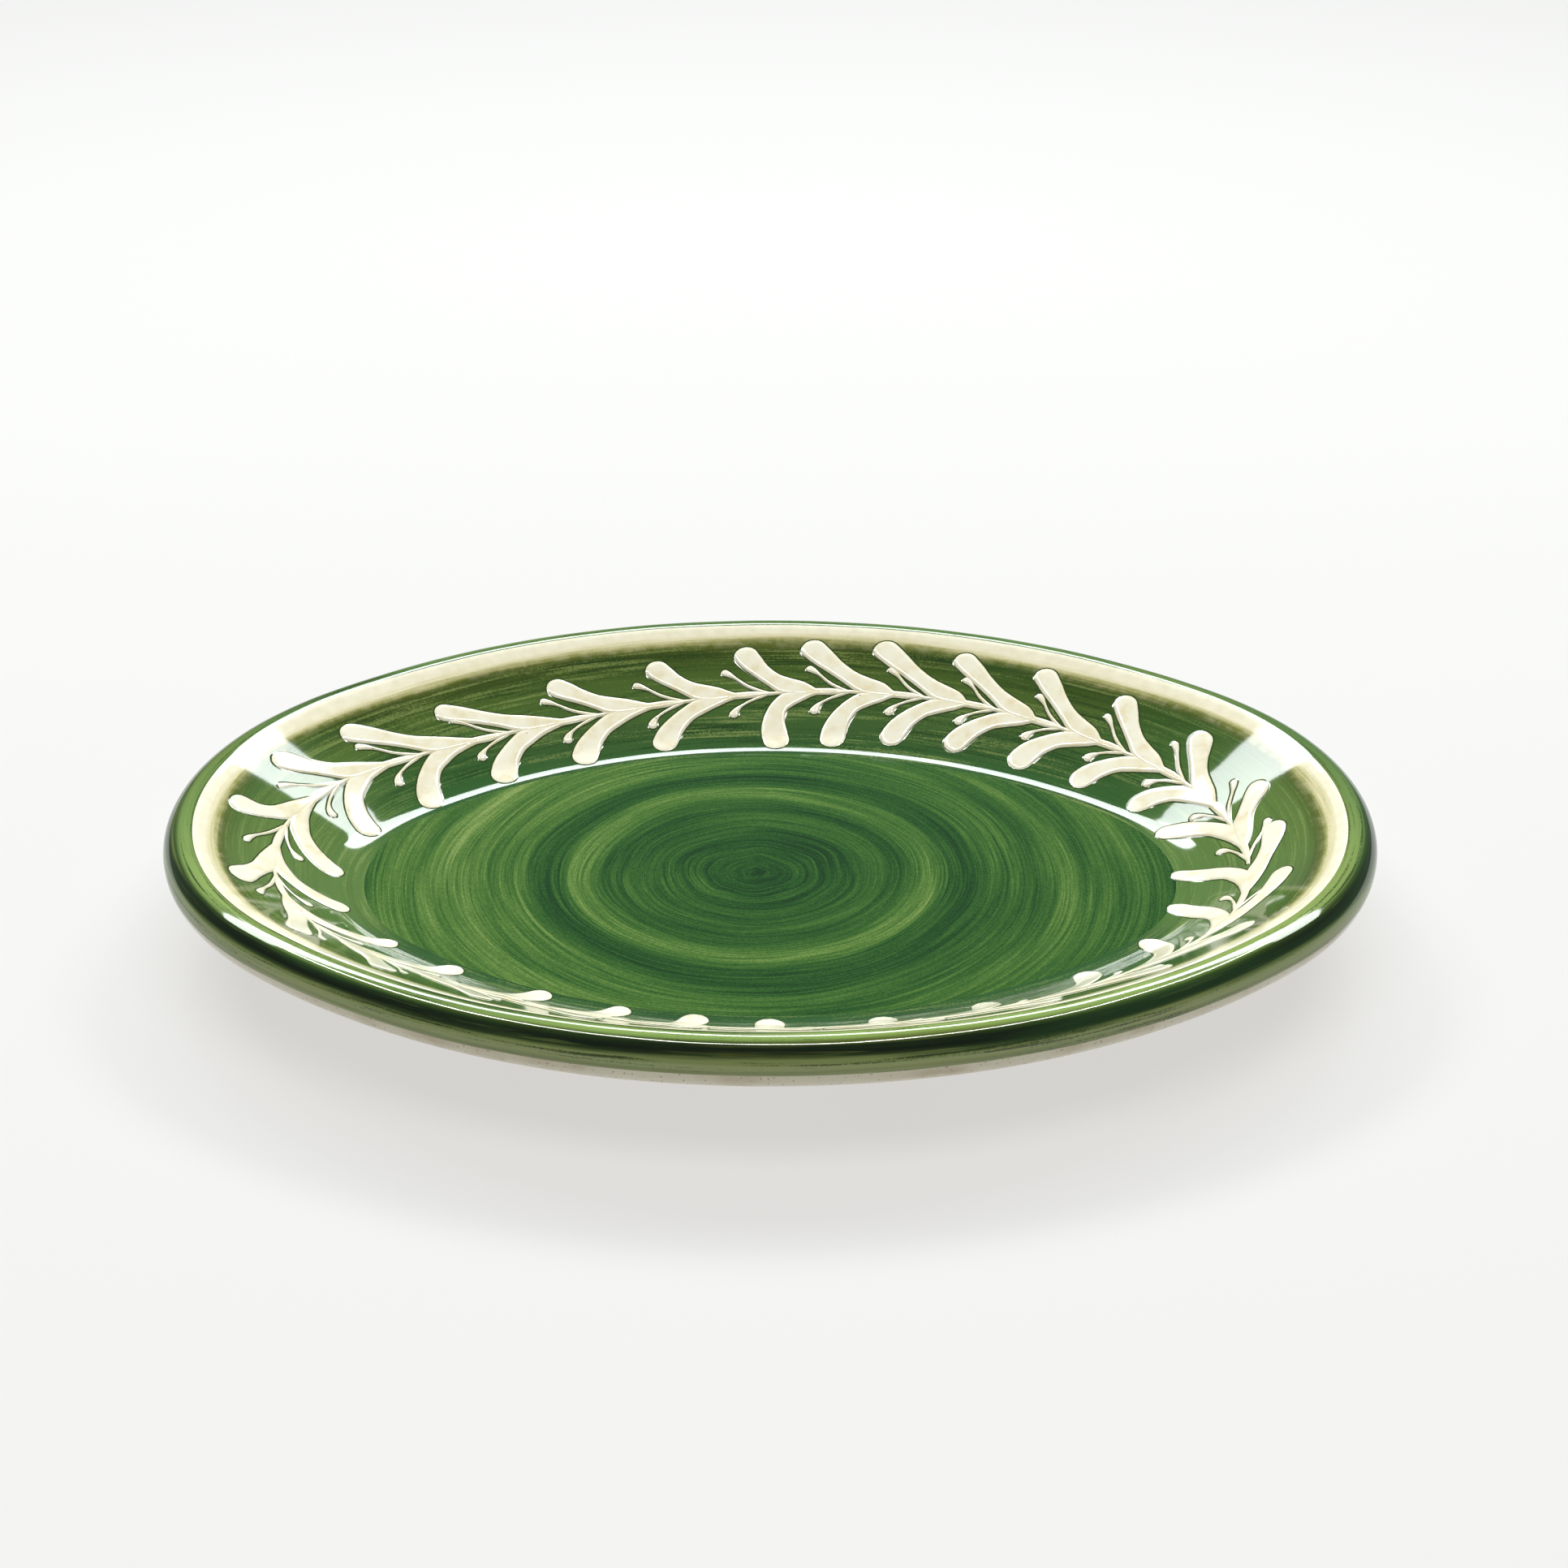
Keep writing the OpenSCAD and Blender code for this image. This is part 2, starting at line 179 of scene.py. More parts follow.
class Wire:  # one node's output, so that shader maths is written as plain sums
    def __init__(self, bench, socket):
        self.bench, self.socket = bench, socket

    def maths(self, operation, other, turned=False):
        pair = {0: other, 1: self} if turned else {0: self, 1: other}
        return self.bench.put("ShaderNodeMath", {"operation": operation}, pair)

    def __add__(self, other):
        return self.maths("ADD", other)

    def __sub__(self, other):
        return self.maths("SUBTRACT", other)

    def __rsub__(self, other):
        return self.maths("SUBTRACT", other, turned=True)

    def __mul__(self, other):
        return self.maths("MULTIPLY", other)

    def __truediv__(self, other):
        return self.maths("DIVIDE", other)

    __radd__, __rmul__ = __add__, __mul__


def pigment(red, green, blue):  # from the numbers on a colour picker to the shader's linear ones
    def linear(c):
        c /= 255
        return c / 12.92 if c <= 0.04045 else ((c + 0.055) / 1.055) ** 2.4
    return (linear(red), linear(green), linear(blue), 1.0)


class Bench:  # a material being mixed
    def __init__(self, name):
        self.material = bpy.data.materials.new(name)
        self.material.use_nodes = True
        self.tree = self.material.node_tree
        self.surface = self.tree.nodes["Principled BSDF"]

    def put(self, kind, settings=None, sockets=None, out=0):
        node = self.tree.nodes.new(kind)
        for key, value in (settings or {}).items():
            if key == "stops":
                for i, (place, colour) in enumerate(value):
                    stop = node.color_ramp.elements[i] if i < 2 else node.color_ramp.elements.new(place)
                    stop.position, stop.color = place, colour
            else:
                setattr(node, key, value)
        for key, value in (sockets or {}).items():
            self.feed(node.inputs[key], value)
        return Wire(self, node.outputs[out])

    def feed(self, socket, value):
        if isinstance(value, Wire):
            self.tree.links.new(value.socket, socket)
        else:
            socket.default_value = value

    def ramp(self, value, stops):  # colours at places along the value
        low, span = stops[0][0], stops[-1][0] - stops[0][0]
        places = [((place - low) / span, pigment(*colour)) for place, colour in stops]
        return self.put("ShaderNodeValToRGB", {"stops": places}, {0: (value - low) / span})

    def level(self, value, low, high):  # a soft step from 0 at low to 1 at high
        return self.put("ShaderNodeMapRange", {"interpolation_type": "SMOOTHSTEP"}, {0: value, 1: low, 2: high})

    def mix(self, under, over, share):
        return self.put("ShaderNodeMix", {"data_type": "RGBA"}, {0: share, 6: under, 7: over}, 2)

    def vector(self, operation, *sockets, out=0):
        return self.put("ShaderNodeVectorMath", {"operation": operation}, dict(enumerate(sockets)), out)

    def objectPlace(self):  # place on the plate, in millimetres
        place = self.put("ShaderNodeTexCoord", out=3)
        return self.vector("MULTIPLY", place, (1 / milli,) * 3)

    def attribute(self, name, out=2):
        return self.put("ShaderNodeAttribute", {"attribute_name": name}, out=out)

    def cloud(self, place, size, detail=2.0, rough=0.5):
        return self.put("ShaderNodeTexNoise", None, {"Vector": place, "Scale": 1 / size, "Detail": detail,
                                                     "Roughness": rough})

    def bristles(self, way, across, reach, width, seed, detail=3.0, rough=0.55):  # lines left by a brush
        lift = self.put("ShaderNodeCombineXYZ", None, {"Z": across / width + seed})
        place = self.vector("MULTIPLY_ADD", way, reach if isinstance(reach, Wire) else (reach,) * 3, lift)
        return self.cloud(place, 1.0, detail, rough)

    def relief(self, height, distance, strength):
        sockets = {"Height": height, "Distance": distance * milli, "Strength": strength}
        return self.put("ShaderNodeBump", None, sockets)

    def finish(self, colour, rough, normal=None, **fixed):
        self.feed(self.surface.inputs["Base Color"], colour)
        self.feed(self.surface.inputs["Roughness"], rough)
        if normal is not None:
            self.feed(self.surface.inputs["Normal"], normal)
        for key, value in fixed.items():
            self.surface.inputs[key.replace("_", " ")].default_value = value
        return self.material


glassy = {"IOR": 1.5, "Specular_IOR_Level": 0.5}

# A brush's settings are reach round the plate, width of its lines, seed, detail and roughness of the noise
floorPaint = {"swirlX": -4.0, "swirlY": 1.4, "wobble": 6, "reachStart": 0.35, "reachRadius": 70,
              "fine": (1.3, 0.55, 11.7, 5.0, 0.68), "middle": (1.0, 1.7, 27.3, 3.0, 0.6),
              "broad": (0.8, 7.0, 41.9, 1.0, 0.55), "ringReach": 110,
              "stops": [(0.05, (15, 52, 18)), (0.24, (29, 74, 26)), (0.44, (53, 94, 35)), (0.66, (86, 120, 52)),
                        (0.95, (140, 160, 92))], "speck": (120, 150, 84),
              # how light each ring is, as radius and share
              "rings": [(0, 0.12), (7, 0.26), (13, 0.36), (17, 0.24), (23, 0.3), (28, 0.44), (31, 0.46),
                        (34, 0.34), (39, 0.42), (42.5, 0.7), (46, 0.72), (49, 0.36), (54, 0.22), (59, 0.36),
                        (65, 0.52), (71, 0.46), (77, 0.6), (81, 0.56), (85, 0.42), (91, 0.56), (97, 0.5),
                        (106, 0.34)]}


def mixFloorGreen():
    bench = Bench("floorGreen")
    place = bench.objectPlace()
    centred = bench.vector("SUBTRACT", place, (floorPaint["swirlX"], floorPaint["swirlY"], 0))
    flat = bench.vector("MULTIPLY", centred, (1, 1, 0))
    way = bench.vector("NORMALIZE", flat)
    radius = bench.vector("LENGTH", flat, out=1)
    leftward = bench.put("ShaderNodeSeparateXYZ", None, {0: way}) * -1.0
    wobble = bench.bristles(way, radius, 0.8, 22, 3.1, 1.0) - 0.5
    turned = radius + wobble * floorPaint["wobble"]
    ringStops = [(r / floorPaint["ringReach"], (v, v, v, 1)) for r, v in floorPaint["rings"]]
    rings = bench.put("ShaderNodeValToRGB", {"stops": ringStops}, {0: turned / floorPaint["ringReach"]})
    # lines near the middle run further round
    reach = radius / floorPaint["reachRadius"] + floorPaint["reachStart"]

    def brushed(kind):
        share, *rest = floorPaint[kind]
        return bench.bristles(way, turned, reach * share, *rest) - 0.5

    fine, middle, broad = brushed("fine"), brushed("middle"), brushed("broad")
    leftGlow = bench.level(leftward, -0.2, 0.9) * bench.level(radius, 50, 60) * bench.level(radius, 100, 84)
    grain = bench.cloud(place, 0.6, 2.0, 0.7) - 0.5
    amount = rings * 0.82 + fine * 1.05 + middle * 0.55 + broad * 0.35 + leftGlow * 0.16 + grain * 0.5
    speck = bench.level(bench.cloud(place, 0.55, 1.0), 0.70, 0.78)
    colour = bench.mix(bench.ramp(amount, floorPaint["stops"]), pigment(*floorPaint["speck"]), speck * 0.35)
    return bench.finish(colour, 0.05 + fine * 0.04, bench.relief(middle + broad, 0.05, 0.12), **glassy)


# Cream slip fades into the green on the wall; both coats take their colour from this, so the border is seamless
wallPaint = {"stops": [(8, (253, 247, 226)), (10.6, (251, 243, 216)), (11.7, (230, 221, 178)),
                       (12.6, (166, 164, 102)), (13.6, (92, 102, 38)), (15.2, (58, 74, 20)),
                       (17.4, (62, 82, 26)), (21, (74, 98, 38)),
                       (27, (78, 106, 46)), (33, (68, 100, 46)), (40, (56, 92, 44)), (48.2, (46, 84, 40))],
             "fine": (3.6, 0.4, 5.2, 5.0, 0.68), "middle": (2.6, 1.5, 18.4, 3.0, 0.6),
             "broad": (1.9, 6.0, 33.8, 2.0, 0.55), "pale": (134, 150, 84), "dark": (30, 58, 22),
             "endGreen": (112, 142, 72), "leaning": (40, 92, 42), "mottle": (226, 214, 176)}


def slipToGreen(bench):
    way, inset = bench.attribute("roundWay", 1), bench.attribute("across")
    fine, middle, broad = (bench.bristles(way, inset, *wallPaint[k]) - 0.5 for k in ("fine", "middle", "broad"))
    grain = bench.cloud(bench.objectPlace(), 0.6, 2.0, 0.7) - 0.5
    forward = bench.put("ShaderNodeSeparateXYZ", None, {0: way})
    # Painted shade: on the near side the cream gives way to green sooner and the brush lines are weaker, which
    # darkens the band where the windows light it and the camera sees it at a low angle.
    near = bench.level(forward, 0.7, 0.97)
    edge = inset + near * 3.2 + (broad * 3.2 + middle * 2.4 + fine * 2.0) * (1 - near * 0.6) + grain * 0.8
    colour = bench.ramp(edge, wallPaint["stops"])
    onGreen = bench.level(edge, 12.6, 15.0)
    pale = bench.level(middle + fine * 0.9 + broad * 0.5 + grain * 0.5, 0.02, 0.26)
    dark = bench.level(middle * -1.0 - fine * 0.9 + broad * 0.5 - grain * 0.5, 0.02, 0.28)
    colour = bench.mix(colour, pigment(*wallPaint["pale"]), pale * onGreen * 0.7)
    colour = bench.mix(colour, pigment(*wallPaint["dark"]), dark * onGreen * 0.85)
    # Lighter green over both ends of the wall: partly the glaze's own lighter tone there and partly painted
    # light where the windows reflect in the end walls.
    sideways = bench.put("ShaderNodeSeparateXYZ", None, {0: way}, 1)
    ends = bench.level(sideways * sideways, 0.7, 1.0) * bench.level(edge, 12.8, 17)
    colour = bench.mix(colour, pigment(*wallPaint["endGreen"]), ends * 0.5)
    leaning = bench.level(bench.bristles(way, inset, 1.3, 30.0, 51.0, 1.0), 0.42, 0.62)
    colour = bench.mix(colour, pigment(*wallPaint["leaning"]), leaning * onGreen * 0.35)
    mottle = bench.level(bench.cloud(bench.objectPlace(), 3.0, 3.0), 0.35, 0.7)
    colour = bench.mix(colour, pigment(*wallPaint["mottle"]), mottle * (1 - onGreen) * 0.3)
    return colour, fine, middle


def mixWallGreen():
    bench = Bench("wallGreen")
    colour, fine, middle = slipToGreen(bench)
    return bench.finish(colour, 0.05 + fine * 0.04, bench.relief(middle, 0.05, 0.12), **glassy)


def mixCreamSlip():
    bench = Bench("creamSlip")
    colour, fine, middle = slipToGreen(bench)
    return bench.finish(colour, 0.07 + fine * 0.04, bench.relief(middle, 0.05, 0.12), **glassy)


# The lip's colour by turn round its section. Painted light: the pale band low on the outer face is a painted
# reflection of the pale table, the near-black band below the top is partly thinner glaze and partly painted
# shade, and the light yellow-green top is partly the glaze's own colour and partly a painted reflection.
lipPaintAndReflections = {"stops": [(-98, (140, 148, 104)), (-92, (112, 124, 76)), (-84, (134, 146, 92)),
                      (-66, (126, 140, 84)), (-57, (44, 62, 22)), (-50, (10, 22, 2)),
                      (-36, (14, 30, 5)), (-27, (54, 76, 24)),
                      (-18, (136, 164, 88)), (-4, (146, 172, 96)), (8, (142, 166, 92)), (13, (114, 138, 70)),
                      (16, (66, 86, 34))],
            "fine": (4.6, 3.6, 7.7, 5.0, 0.68), "middle": (2.6, 12.0, 21.3, 3.0, 0.6),
            "broad": (1.2, 70.0, 45.1, 1.0, 0.55), "endGreen": (44, 90, 38), "dark": (26, 42, 12),
            "pale": (140, 156, 84), "patch": (40, 78, 38), "olive": (132, 142, 66), "pooled": (66, 82, 34)}


def mixLipGreen():
    bench = Bench("lipGreen")
    way, turn = bench.attribute("roundWay", 1), bench.attribute("across")
    fine, middle, broad = (bench.bristles(way, turn, *lipPaintAndReflections[k]) - 0.5 for k in ("fine", "middle", "broad"))
    colour = bench.ramp(turn + broad * 24 + middle * 16, lipPaintAndReflections["stops"])
    # Towards the back the lip turns plain green, so its painted reflection and painted shade bands fade out away
    # from the near side.
    forward = bench.put("ShaderNodeSeparateXYZ", None, {0: way})
    colour = bench.mix(colour, pigment(*lipPaintAndReflections["endGreen"]), bench.level(forward, 0.5, -0.3) * 0.7)
    grain = bench.cloud(bench.objectPlace(), 0.6, 2.0, 0.7) - 0.5
    layers = (("dark", bench.level(middle + fine + grain * 0.4, 0.04, 0.26) * 0.8),
              ("pale", bench.level(0.0 - middle - fine, 0.1, 0.4) * 0.5),
              ("patch", bench.level(broad, 0.04, 0.2) * 0.4),
              ("olive", bench.level(middle * -0.6 - broad, 0.05, 0.2) * 0.3),
              ("pooled", bench.level(turn, 14.0, 15.2) * 0.6))
    for paint, share in layers:
        colour = bench.mix(colour, pigment(*lipPaintAndReflections[paint]), share)
    return bench.finish(colour, 0.05 + fine * 0.04, bench.relief(middle, 0.05, 0.12), **glassy)


def mixUnderGlaze():
    bench = Bench("underGlaze")
    place = bench.objectPlace()
    way, inset = bench.attribute("roundWay", 1), bench.attribute("across")
    lines = bench.bristles(way, inset, 5.0, 1.4, 9.9, 3.0) - 0.5
    patches = bench.cloud(place, 16.0, 3.0) - 0.5
    streaks = bench.level(patches + lines * 0.6, -0.1, 0.3)
    colour = bench.mix(pigment(206, 200, 178), pigment(178, 166, 138), streaks)
    speck = bench.level(bench.cloud(place, 0.8, 0.0), 0.72, 0.78)
    colour = bench.mix(colour, pigment(128, 100, 70), speck * 0.6)
    return bench.finish(colour, 0.14 + lines * 0.1, bench.relief(lines + patches * 0.5, 0.08, 0.25), **glassy)


def mixBareClay():
    bench = Bench("bareClay")
    place = bench.objectPlace()
    grain = bench.cloud(place, 0.5, 3.0, 0.7) - 0.5
    body = bench.cloud(place, 7.0, 3.0) - 0.5
    colour = bench.mix(pigment(196, 156, 118), pigment(168, 122, 86),
                       bench.level(body + grain * 0.6, -0.2, 0.3))
    colour = bench.mix(colour, pigment(120, 84, 60), bench.level(grain, 0.16, 0.3) * 0.5)
    normal = bench.relief(grain + body, 0.12, 0.6)
    return bench.finish(colour, 0.82 + grain * 0.2, normal, Specular_IOR_Level=0.3)


def mixClay():
    bench = Bench("clay")
    place = bench.objectPlace()
    grain = bench.cloud(place, 0.6, 3.0, 0.7) - 0.5
    colour = bench.mix(pigment(204, 170, 128), pigment(180, 140, 100), bench.level(grain, -0.2, 0.25))
    return bench.finish(colour, 0.85 + grain * 0.2, bench.relief(grain, 0.1, 0.5), Specular_IOR_Level=0.3)


slipPaint = {"bone": (244, 232, 198), "milk": (254, 248, 228), "beige": (226, 208, 164), "pool": (50, 72, 25),
             "rim": (214, 206, 170), "pinhole": (120, 104, 60)}


def mixPaintedSlip():
    bench = Bench("paintedSlip")
    place = bench.objectPlace()
    edge, reach = bench.attribute("edge"), bench.attribute("reach")
    patches = bench.cloud(place, 4.5, 3.0) - 0.5
    grain = bench.cloud(place, 0.9, 2.0) - 0.5
    milky = bench.level(patches + reach * 0.25, -0.15, 0.3)
    colour = bench.mix(pigment(*slipPaint["bone"]), pigment(*slipPaint["milk"]), milky)
    thin = bench.level(patches * -1.0 + grain * 0.4, 0.05, 0.4)
    colour = bench.mix(colour, pigment(*slipPaint["beige"]), thin * 0.5)
    rim = bench.level(edge + grain * 0.25, wreath["pool"] + 0.65, wreath["pool"])
    colour = bench.mix(colour, pigment(*slipPaint["rim"]), rim * 0.3)
    hole = bench.put("ShaderNodeTexVoronoi", None, {"Vector": place, "Scale": 0.16, "Randomness": 1.0})
    pinhole = bench.level(hole, 0.055, 0.03) * bench.level(bench.cloud(place, 9.0, 0.0), 0.5, 0.56)
    colour = bench.mix(colour, pigment(*slipPaint["pinhole"]), pinhole * 0.8)
    pooled = bench.level(edge + grain * 0.16, wreath["pool"] + 0.08, wreath["pool"] - 0.04)
    colour = bench.mix(colour, pigment(*slipPaint["pool"]), pooled)
    height = patches * 0.4 + grain * 0.2 - pinhole * 0.8
    return bench.finish(colour, 0.09 + grain * 0.06, bench.relief(height, 0.03, 0.2), **glassy)


def finishPiece(name, bm, node, material, sharp=35):
    for v in bm.verts:
        v.co = strayByHand(v.co) * milli
    bmesh.ops.recalc_face_normals(bm, faces=bm.faces)
    mesh = bpy.data.meshes.new(name)
    bm.to_mesh(mesh)
    bm.free()
    mesh.shade_smooth()
    mesh.set_sharp_from_angle(angle=math.radians(sharp))
    mesh.materials.append(material)
    piece = bpy.data.objects.new(name, mesh)
    bpy.context.scene.collection.objects.link(piece)
    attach(piece, "root")
    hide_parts(node)
    print("made", name, len(mesh.polygons), "faces")
    return piece


def sweep(bm, points, marks, closed=True):  # spins a section round the four arcs of the oval
    across = bm.verts.layers.float.new("across")
    way = Vector((math.cos(joinAngle), -math.sin(joinAngle)))
    profile = []
    for p, mark in zip(points, marks):
        spot = Vector((endCentre, 0)) + (plan["endRadius"] - p.x) * way
        profile.append(bm.verts.new((spot.x, spot.y, p.y)))
        profile[-1][across] = mark
    pairs = zip(profile, profile[1:] + profile[:1]) if closed else zip(profile, profile[1:])
    geom = profile + [bm.edges.new(pair) for pair in pairs]
    for (x, y), turn, steps in planArcs:
        geom = bmesh.ops.spin(bm, geom=geom, cent=(x, y, 0), axis=(0, 0, 1), angle=turn, steps=steps,
                              use_merge=False)["geom_last"]
    bmesh.ops.remove_doubles(bm, verts=bm.verts, dist=0.01)
    markRoundWay(bm)


def markRoundWay(bm):
    layer = bm.verts.layers.float_vector.new("roundWay")
    for v in bm.verts:
        angle = 2 * math.pi * roundWay(v.co.x, v.co.y)
        v[layer] = (math.cos(angle), math.sin(angle), 0)


def makeRing(name, points, markOf, node, material):
    bm = bmesh.new()
    sweep(bm, points, [markOf(p) for p in points])
    return finishPiece(name, bm, node, material)


def closeOver(bm, height, rings):  # closes the swept rim with ovals that shrink to the middle
    rim = [e for e in bm.edges if e.is_boundary and all(abs(v.co.z - height) < 0.01 for v in e.verts)]
    for i in range(rings):
        grown = bmesh.ops.extrude_edge_only(bm, edges=rim)["geom"]
        verts = [g for g in grown if isinstance(g, bmesh.types.BMVert)]
        fresh = set(verts)
        rim = [g for g in grown if isinstance(g, bmesh.types.BMEdge) and all(v in fresh for v in g.verts)]
        if i == rings - 1:
            bmesh.ops.pointmerge(bm, verts=verts, merge_co=(0, 0, height))
        else:
            share = (rings - i - 1) / (rings - i)
            bmesh.ops.scale(bm, verts=verts, vec=(share, share, 1))


def makeDisc(name, points, covers, node, material):  # an open section, closed over at each of the heights
    bm = bmesh.new()
    sweep(bm, points, [insetOf(p) for p in points], closed=False)
    for height, rings in covers:
        closeOver(bm, height, rings)
    bmesh.ops.remove_doubles(bm, verts=bm.verts, dist=0.001)
    markRoundWay(bm)
    return finishPiece(name, bm, node, material)


clay, bareClay, underGlaze = mixClay(), mixBareClay(), mixUnderGlaze()
t = coats["glaze"]
slabBase = dish["footHeight"] + t
underClay = bow(bellyCentre, dish["belly"] - t, 180, 180 + dish["slope"], 3) + bow(
    grooveCentre, dish["groove"] + t, dish["slope"], grooveTurn, 6)
slabClay = underClay + bow(lipCentre, lipRadius - t, rollUnder, rollSeam, 2.5)[1:] + wallFace(t, 0)
makeDisc("plateClay", slabClay, [(slabBase, 3), (floorTop - t, 3)], "clay_dish", clay)
makeRing("lipCoil", lipFace(t, dish["slope"], rollSeam), insetOf, "lip_roll", clay)
footEdge = dish["footEdge"]
makeRing("footCoil", [Vector((footInner, dish["footHeight"] + t))] +
         bow(Vector((footInner - footEdge, footEdge)), footEdge, 90, 180, 10) +
         bow(Vector((dish["footInset"] + footEdge, footEdge)), footEdge, 180, 270, 10) +
         [Vector((dish["footInset"], dish["footHeight"] + t))], insetOf, "foot_ring", bareClay)
makeDisc("floorCoat", [Vector((floorInset, floorTop)), Vector((floorInset, floorTop - t))],
         [(floorTop, 34), (floorTop - t, 3)], "floor_glaze", mixFloorGreen())
makeRing("wallCoat", skin(lambda t: wallFace(t, coats["creamRun"])), insetOf, "wall_glaze",
         mixWallGreen())


def creamFace(t):
    top = lipCentre + (lipRadius - t) * upWall
    onWallPart = [top + coats["creamRun"] * share * downWall for share in (0.25, 0.5, 0.75, 1)]
    return lipFace(t, coats["creamStart"], dish["slope"]) + onWallPart


makeRing("creamBand", skin(creamFace), insetOf, "cream_ring", mixCreamSlip())
makeRing("lipCoat", skin(lambda t: lipFace(t, coats["creamStart"], greenEnd)), lipAngle, "lip_glaze",
         mixLipGreen())
makeRing("outsideCoat", underFace(0) + [Vector((dish["footInset"] - t, dish["footHeight"])),
                                       Vector((dish["footInset"] - t, footEdge)),
                                       Vector((dish["footInset"], footEdge)),
                                       Vector((dish["footInset"], dish["footHeight"] + t))] + underFace(t)[::-1],
         insetOf, "outside_glaze", underGlaze)
footBase = dish["footHeight"]
makeDisc("baseCoat", [Vector((footInner, footBase + t)), Vector((footInner, footEdge)),
                      Vector((footInner + t, footEdge)), Vector((footInner + t, footBase))],
         [(footBase, 16), (footBase + t, 3)], "base_glaze", underGlaze)
print("coats done")

# Wreath: each stroke is a low pillow of slip with glaze pooled round its foot
strokes = {
    # where each pair's leaves end, as along and out for the outer leaf and then for the inner one
    "ends": [(6.5, 11.1, 13.9, 14.3), (7.9, 12.5, 9.3, 12), (9.9, 13.4, 9, 12.5), (12.2, 13.9, 8.5, 12.9),
             (13.8, 13.6, 9.2, 12.8), (14.5, 14.5, 8.1, 13.7), (12.4, 14.3, 5, 15.7), (8, 13.1, 0, 16.2),
             (8.3, 11.4, 10.1, 12.7), (10.7, 10.9, 10.3, 12.7), (16.5, 10.9, 10.5, 13.1),
             (15.4, 12.5, 9.4, 15.3), (8.8, 13.4, 9.7, 15.2), (3.5, 12.3, 12.2, 15), (8.1, 10.6, 9, 15.2),
             (10.2, 11.1, 9.7, 17), (11, 12, 8.7, 17), (12, 12.5, 12.5, 16.5), (12, 13, 11.9, 16),
             (11, 13, 8.6, 16), (11, 13, 4, 16), (12, 13, 7.7, 16), (12, 12.5, 8.8, 16), (13, 12, 13.3, 17),
             (15, 10, 12.4, 17.5), (17, 9.2, 11.8, 18), (13.5, 8.6, 9.5, 17.6)],
    "outerLeaf": [(-6.45, 1.2, 2.33), (-1.9, 2.4, 2.8), (2.1, 4.9, 2.35), (6.1, 8.3, 2.42), (9.4, 11.75, 2.9),
                  (12, 14.8, 3.1)],
    "innerLeaf": [(-6.5, -0.9, 2.0), (-2.1, -2.2, 2.55), (1.8, -4.2, 2.5), (5.4, -7.1, 2.93), (7.7, -9.7, 3.45),
                  (9.1, -11.9, 3.6)],
    "outerStamen": [(2.6, 0.2, 0.45), (5, 1.1, 0.5), (8.5, 3, 0.45), (11.5, 5.6, 0.4), (13.4, 7.1, 0.8),
                    (14.6, 7.8, 1)],
    "innerStamen": [(2.4, -0.1, 0.45), (4.5, -0.9, 0.5), (7.5, -2, 0.4), (10.3, -3.4, 0.4), (12, -4.8, 0.9),
                    (12.8, -5.9, 1.3)]}


def chance(i, salt):  # a fixed scatter between -1 and 1
    return 2 * ((math.sin(i * 12.9898 + salt * 78.233) * 43758.5453) % 1) - 1


def forkAt(i):
    turn = 2 * math.pi * i / wreath["pairs"]
    return (wreath["firstPair"] + meanPitch * i + 7.8 * math.cos(turn + math.radians(37.5))
            + 5.8 * math.cos(2 * turn - math.radians(20)))


def strayAt(run):
    return math.cos(3 * 2 * math.pi * (run - 177) / roundLength)


def pitchAt(i):
    return forkAt(i) - forkAt(i - 1)


def smoothLine(points, steps):  # a smooth curve through (along, out, half width)
    rows = []
    for i in range(len(points) - 1):
        a, b, c, d = (Vector(points[min(max(k, 0), len(points) - 1)]) for k in (i - 1, i, i + 1, i + 2))
        for j in range(steps):
            s = j / steps
            rows.append((2 * b + (c - a) * s + (2 * a - 5 * b + 4 * c - d) * s * s
                         + (3 * b - a - 3 * c + d) * s ** 3) / 2)
    return rows + [Vector(points[-1])]


